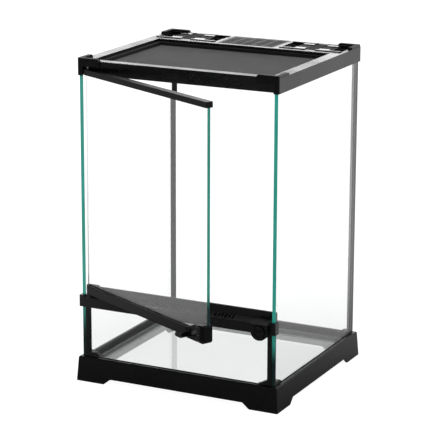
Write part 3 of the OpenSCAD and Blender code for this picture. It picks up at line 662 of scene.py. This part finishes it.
def riser(name, node, carried, gap, width, z0, z1, mat):
    """Ledge that stands on a frame's own one and carries a pane or the screen higher. Its
    outline stands a gap outside that of the node that it carries."""
    section = ((-gap, z0), (-gap, z1), (width - gap, z1), (width - gap, z0))
    return moulded(ring(name, carried, section), node, mat, 0.3)


def faces_middle(face):
    """Upright faces under the bottom pane that look towards the middle of the tank."""
    x, y, z = face.center / MM
    inside = (abs(x) < FLOOR_HI[0] - MIDDLE_INSET
              and FLOOR_LO[1] + MIDDLE_INSET < y < FLOOR_HI[1] - MIDDLE_INSET)
    at_side = abs(x) > FLOOR_HI[0] - SIDE_REACH
    side = abs(face.normal.x) > 0.9 and face.normal.x * x < 0 and at_side
    front_or_rear = abs(face.normal.y) > 0.9 and face.normal.y * y < 0
    return inside and (side or front_or_rear) and z < FLOOR_LO[2] + PANE_RISE


shelf = riser("pane_shelf", "base_frame", "bottom_glass", gap=0.25, width=5.0,
              z0=FLOOR_LO[2] - 0.3, z1=FLOOR_LO[2] + PANE_RISE - 0.05, mat=BASE)
# painted reflection: the skirt faces under the pane take the pale bead colour, in place of the
# pale band of reflected light seen through the pane
for piece in (shelf, base):
    paint(piece, BEAD_AND_PAINTED_REFLECTION, faces_middle)
riser("screen_seat", "top_frame", "screen_frame", gap=0.35, width=3.5,
      z0=CAD_SCREEN_LOW - 0.4, z1=CAD_SCREEN_LOW + SCREEN_RISE - 0.3, mat=MATTE)


# ---------------------------------------------------------------- gauze behind the slots

GAUZE_INSET = 12.0
GAUZE_LOW = 10.5
GAUZE_HIGH = 15.5
GAUZE_FRONT = 2.6
GAUZE_BACK = 2.2


def vent_gauze():
    """Thin strip behind the slots, placed from the vent bar's back, foot and ends."""
    lo, hi = box_mm("vent_bar")
    front, back = hi[1] - GAUZE_FRONT, hi[1] - GAUZE_BACK
    low, high = lo[2] + GAUZE_LOW, lo[2] + GAUZE_HIGH
    gauze = prism("vent_gauze", [(front, low), (back, low), (back, high), (front, high)], 0,
                  lo[0] + GAUZE_INSET, hi[0] - GAUZE_INSET)
    moulded(gauze, "vent_bar", MATTE, 0.1)


vent_gauze()


# ---------------------------------------------------------------- latch

# places with the door shut, in mm
HUB = DOOR_SHUT @ Vector(JOINTS["latch_pivot"]["pos_m"]) / MM
RAIL_LO, RAIL_HI = shut_box("door_bottom_rail")
FACE_Y, BACK_Y = RAIL_LO[1], RAIL_HI[1]
LOW_Z, RAIL_TOP = RAIL_LO[2], RAIL_HI[2]
DOOR_END = HUB.x + 11.0
HUB_LOW = LOW_Z + 11.1
HUB_HIGH = HUB_LOW + 4.6
HUB_R = 2.6

LATCH_LEN = 43.0
LATCH_H = 24.0
TOP_Z = LOW_Z + LATCH_H
CREST_FLAT = 22.0
CREST_DROP = 4.0
END_CUT = 2.5
BLOCK_START = DOOR_END - 37.0
BLOCK_TOP = RAIL_TOP + 1.6
BLOCK_FRONT = FACE_Y - 3.0
BOSS_R = 3.4
BOSS_END = DOOR_END - 4.0
BOSS_LOW = LOW_Z + 3.5
BOSS_TOP = TOP_Z - 3.0
RECESS_START = BLOCK_START - 2.0
RECESS_STEP = HUB.x - 9.0
RECESS_END = HUB.x + 3.9
RECESS_FOOT = LOW_Z + 0.8
RECESS_BACK = FACE_Y + 0.9
RECESS_GAP = 0.3
# how far a shape that is joined on runs into the one behind it
SUNK = 1.0

PAD_X = DOOR_END - 38.4
PAD_Z = LOW_Z + 0.2
PAD_H = 6.0
PAD_LEN = 12.5
PAD_T = 2.5
PAD_FRONT = FACE_Y - 11.5
PAD_BACK = FACE_Y - 0.4
PAD_NOSE = PAD_X - 9.5
GROOVES = 4
GROOVE_PITCH = 2.4
GROOVE_R = 0.6
ARM_H = 3.4
ARM_FRONT = FACE_Y - 2.6
ARM_BACK = FACE_Y - 0.45


def latch_housing():
    """Block with a curved crest, a boss round the hub, and a recess for the lever's arm."""
    crest = s_curve(DOOR_END - CREST_FLAT, TOP_Z - CREST_DROP, DOOR_END - LATCH_LEN, RAIL_TOP)
    end = [(DOOR_END - END_CUT, LOW_Z), (DOOR_END, LOW_Z + END_CUT),
           (DOOR_END, TOP_Z - END_CUT), (DOOR_END - END_CUT, TOP_Z)]
    block = prism("latch_housing_shell", end + crest + [(DOOR_END - LATCH_LEN, LOW_Z)], 1,
                  FACE_Y, BACK_Y)
    edge = [point for point in crest if point[0] > BLOCK_START + 0.5]
    face = end + edge + [(BLOCK_START, BLOCK_TOP), (BLOCK_START, LOW_Z)]
    combine(block, "UNION", prism("front", face, 1, BLOCK_FRONT, FACE_Y + SUNK))
    boss = ([(HUB.x - BOSS_R, FACE_Y + SUNK)]
            + arc((HUB.x, HUB.y), BOSS_R, 180.0, 270.0, 8)
            + [(BOSS_END, HUB.y - BOSS_R)]
            + arc((BOSS_END, HUB.y + 0.1), BOSS_R, 270.0, 360.0, 8)
            + [(DOOR_END - 0.6, FACE_Y + SUNK)])
    combine(block, "UNION", prism("boss", boss, 2, BOSS_LOW, BOSS_TOP))
    low, high = HUB_LOW - RECESS_GAP, HUB_HIGH + RECESS_GAP
    recess = [(RECESS_START, RECESS_FOOT), (BLOCK_START, RECESS_FOOT),
              (RECESS_END, low), (RECESS_END, high), (RECESS_STEP, high),
              (RECESS_STEP, TOP_Z + 1.0), (RECESS_START, TOP_Z + 1.0)]
    combine(block, "DIFFERENCE", prism("recess", recess, 1, HUB.y - 6.0, RECESS_BACK))
    moulded(block, "latch_housing", DOOR, 0.45, DOOR_TURN)


def latch_lever():
    """Lever with a grooved finger pad, a cranked arm and a round hub."""
    grooves = []
    for i in range(GROOVES, 0, -1):
        grooves += arc((PAD_X - GROOVE_PITCH * i, PAD_FRONT), GROOVE_R, 180.0, 0.0, 6)
    pad = ([(PAD_X - PAD_LEN, PAD_FRONT)] + grooves
           + [(PAD_X, PAD_FRONT), (PAD_X, PAD_BACK), (PAD_X - PAD_T, PAD_BACK),
              (PAD_X - PAD_T, PAD_FRONT + PAD_T), (PAD_X - PAD_LEN, PAD_FRONT + PAD_T)])
    lever = prism("latch_lever_shell", pad, 2, PAD_Z, PAD_Z + PAD_H)
    side = ([(PAD_X + 1.0, PAD_Z), (PAD_X + 1.0, PAD_Z + PAD_H)]
            + arc((PAD_NOSE, PAD_Z + PAD_H / 2), PAD_H / 2, 90.0, 270.0, 10))
    combine(lever, "INTERSECT", prism("side", side, 1, PAD_FRONT - 1.0, FACE_Y + 1.0))
    arm = [(PAD_X - PAD_T, PAD_Z), (PAD_X, PAD_Z), (HUB.x - 4.0, HUB_LOW), (HUB.x, HUB_LOW),
           (HUB.x, HUB_HIGH), (HUB.x - 6.0, HUB_HIGH), (PAD_X - PAD_T, PAD_Z + ARM_H)]
    combine(lever, "UNION", prism("arm", arm, 1, ARM_FRONT, ARM_BACK))
    hub = circle((HUB.x, HUB.y), HUB_R, 24)
    combine(lever, "UNION", prism("hub", hub, 2, HUB_LOW, HUB_HIGH))
    moulded(lever, "latch_lever", GLOSS, 0.35, DOOR_TURN)


latch_housing()
latch_lever()


# ---------------------------------------------------------------- screen

SCREEN_LOW = CAD_SCREEN_LOW + SCREEN_RISE
SCREEN_TOP = SCREEN_LOW + 6.1
WALL_T = 5.0
FLANGE_W = 8.0
FLANGE_T = 0.9
MESH_PITCH = 1.6
MESH_WIRE = 0.62
MESH_WAVE = 0.52


def screen_frame():
    """Frame of the screen: an upright wall with a thin flange inside it that holds the mesh."""
    flange_top = SCREEN_LOW + FLANGE_T
    section = ((0.0, SCREEN_LOW), (0.0, SCREEN_TOP), (WALL_T, SCREEN_TOP),
               (WALL_T, flange_top), (FLANGE_W, flange_top), (FLANGE_W, SCREEN_LOW))
    moulded(ring("screen_frame_shell", "screen_frame", section), "screen_frame", MATTE,
            0.4)


def woven_screen(node, pitch, wire, rise):
    """Plain weave: each wire rises and dips over the ones that it crosses."""
    lo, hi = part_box(node)
    mid = (lo + hi) / 2 + Vector((0, 0, rise * MM))
    step = pitch * MM
    wave = wire * MESH_WAVE * MM
    radius = wire / 2 * MM
    counts = [int((hi[i] - lo[i]) / step) for i in range(2)]
    starts = [mid[i] - counts[i] * step / 2 for i in range(2)]
    verts, faces = [], []
    for along in range(2):
        across = 1 - along
        stations = counts[along] + 2
        for w in range(counts[across] + 1):
            level = starts[across] + w * step
            first = len(verts)
            for s in range(stations + 1):
                at = min(max(starts[along] + (s - 0.5) * step, lo[along]), hi[along])
                over = 1 if (s + w + along) % 2 else -1
                up = 0.0 if s in (0, stations) else wave * over
                for k in range(4):
                    a = math.pi / 4 + k * math.pi / 2
                    p = [0.0, 0.0, mid[2] + up + radius * math.sin(a)]
                    p[along] = at
                    p[across] = level + radius * math.cos(a)
                    verts.append(p)
            for s in range(stations):
                for k in range(4):
                    a = first + s * 4 + k
                    b = first + s * 4 + (k + 1) % 4
                    faces.append((a, b, b + 4, a + 4))
            last = first + stations * 4
            faces.append((first + 3, first + 2, first + 1, first))
            faces.append((last, last + 1, last + 2, last + 3))
    mesh = bpy.data.meshes.new("woven_wires")
    mesh.from_pydata(verts, [], faces)
    bm = bmesh.new()
    bm.from_mesh(mesh)
    bpy.data.meshes.remove(mesh)
    bmesh.ops.recalc_face_normals(bm, faces=bm.faces)
    screen = object_from(bm, "woven_screen")
    screen.data.materials.append(SHEEN_PAINTED_WIRE)
    for face in screen.data.polygons:
        face.use_smooth = True
    finish_piece(screen, node)


screen_frame()
woven_screen("screen_mesh", MESH_PITCH, MESH_WIRE, SCREEN_RISE)


# ---------------------------------------------------------------- stage and light

FLOOR_HALF = 15.0
FLOOR_DROP = 0.0005
FLOOR_SEEN = 0.95
FLOOR_MIRRORED = 0.80
WORLD_LIGHT = 0.85
WORLD_BEHIND = 0.85
WORLD_FRONT = 0.12


def ray_kinds(t):
    """One for rays seen straight or through glass, and one for rays seen in a reflection.
    A ray that passes glass after a reflection still counts as a reflection."""
    rays = t.node("LightPath")
    scattered = t.math("LESS_THAN", rays.outputs["Diffuse Depth"], 0.5)
    direct = t.math("LESS_THAN", rays.outputs["Glossy Depth"], 0.5)
    through = t.math("MULTIPLY", rays.outputs["Is Transmission Ray"], scattered)
    through_direct = t.math("MULTIPLY", through, direct)
    seen = t.math("MAXIMUM", rays.outputs["Is Camera Ray"], through_direct)
    again = t.math("SUBTRACT", through, through_direct)
    glossy = t.math("MULTIPLY", rays.outputs["Is Glossy Ray"], scattered)
    return seen, t.math("MAXIMUM", glossy, again)


def floor_material():
    """White floor. Its own glow makes the background, and its diffuse part takes the shadow.
    In reflections it is bright behind the tank and to the left of it, and dark in front."""
    made, t, out = material("floor")
    where = t.coord()
    seen, reflected = ray_kinds(t)
    x, y = t.xyz(where)[:2]
    away = t.math("ADD", t.math("MULTIPLY", x, 0.43), t.math("MULTIPLY", y, 0.9))
    behind = t.ramp(away, -0.1, 0.75, 0.02, 1.0)
    leftward = t.math("MULTIPLY", t.ramp(x, -0.45, -0.2, 1.0, 0.0), t.ramp(y, -0.9, -0.5))
    mirrored = t.math("MULTIPLY", reflected, t.math("MAXIMUM", behind, leftward))
    glow = t.node("Emission")
    t.link(t.math("MAXIMUM", t.math("MULTIPLY", seen, FLOOR_SEEN),
                  t.math("MULTIPLY", mirrored, FLOOR_MIRRORED)), glow.inputs["Strength"])
    pale = t.node("BsdfDiffuse")
    grain = t.noise(where, scale=60.0)
    t.link(t.mix(grain, (0.26, 0.26, 0.26), (0.28, 0.28, 0.28)), pale.inputs["Color"])
    both = t.node("AddShader")
    t.link(glow.outputs[0], both.inputs[0])
    t.link(pale.outputs[0], both.inputs[1])
    t.link(both.outputs[0], out.inputs["Surface"])
    made.cycles.emission_sampling = "NONE"
    return made


def stage_floor():
    mesh = bpy.data.meshes.new("floor")
    mesh.from_pydata([(x * FLOOR_HALF, y * FLOOR_HALF, 0)
                      for x, y in ((-1, -1), (1, -1), (1, 1), (-1, 1))], [], [(0, 1, 2, 3)])
    mesh.materials.append(floor_material())
    floor = bpy.data.objects.new("floor", mesh)
    bpy.context.scene.collection.objects.link(floor)
    floor.location = (0, 0, -FLOOR_DROP)


def white_world():
    """White world. In reflections it is bright behind the tank and dim in front of it."""
    world = bpy.data.worlds.new("world")
    bpy.context.scene.world = world
    world.use_nodes = True
    t = Tree(world.node_tree)
    out = t.node("OutputWorld")
    background = t.node("Background")
    seen, mirrored = ray_kinds(t)
    behind = t.ramp(t.xyz(t.coord("Generated"))[1], -0.1, 0.25, WORLD_FRONT, WORLD_BEHIND)
    glow = t.node("Mix")
    t.link(mirrored, glow.inputs[0])
    glow.inputs[2].default_value = WORLD_LIGHT
    t.link(behind, glow.inputs[3])
    t.link(t.math("MAXIMUM", seen, glow.outputs[0]), background.inputs["Strength"])
    background.inputs["Color"].default_value = (1, 1, 1, 1)
    t.link(background.outputs[0], out.inputs["Surface"])
    world.cycles.sampling_method = "NONE"


def softbox(name, location, target, width, height, radiance):
    """Area lamp of a given radiance, not seen by the camera itself or through glass."""
    data = bpy.data.lights.new(name, "AREA")
    data.shape = "RECTANGLE"
    data.size = width
    data.size_y = height
    data.energy = radiance * width * height * math.pi
    obj = bpy.data.objects.new(name, data)
    obj.location = location
    aim = Vector(target) - Vector(location)
    obj.rotation_euler = aim.to_track_quat("-Z", "Y").to_euler()
    obj.visible_camera = False
    obj.visible_transmission = False
    bpy.context.scene.collection.objects.link(obj)


stage_floor()
white_world()
softbox("back_box", (-1.96, 4.0, 1.12), (0, 0, 0.44), width=1.7, height=0.6, radiance=3.2)
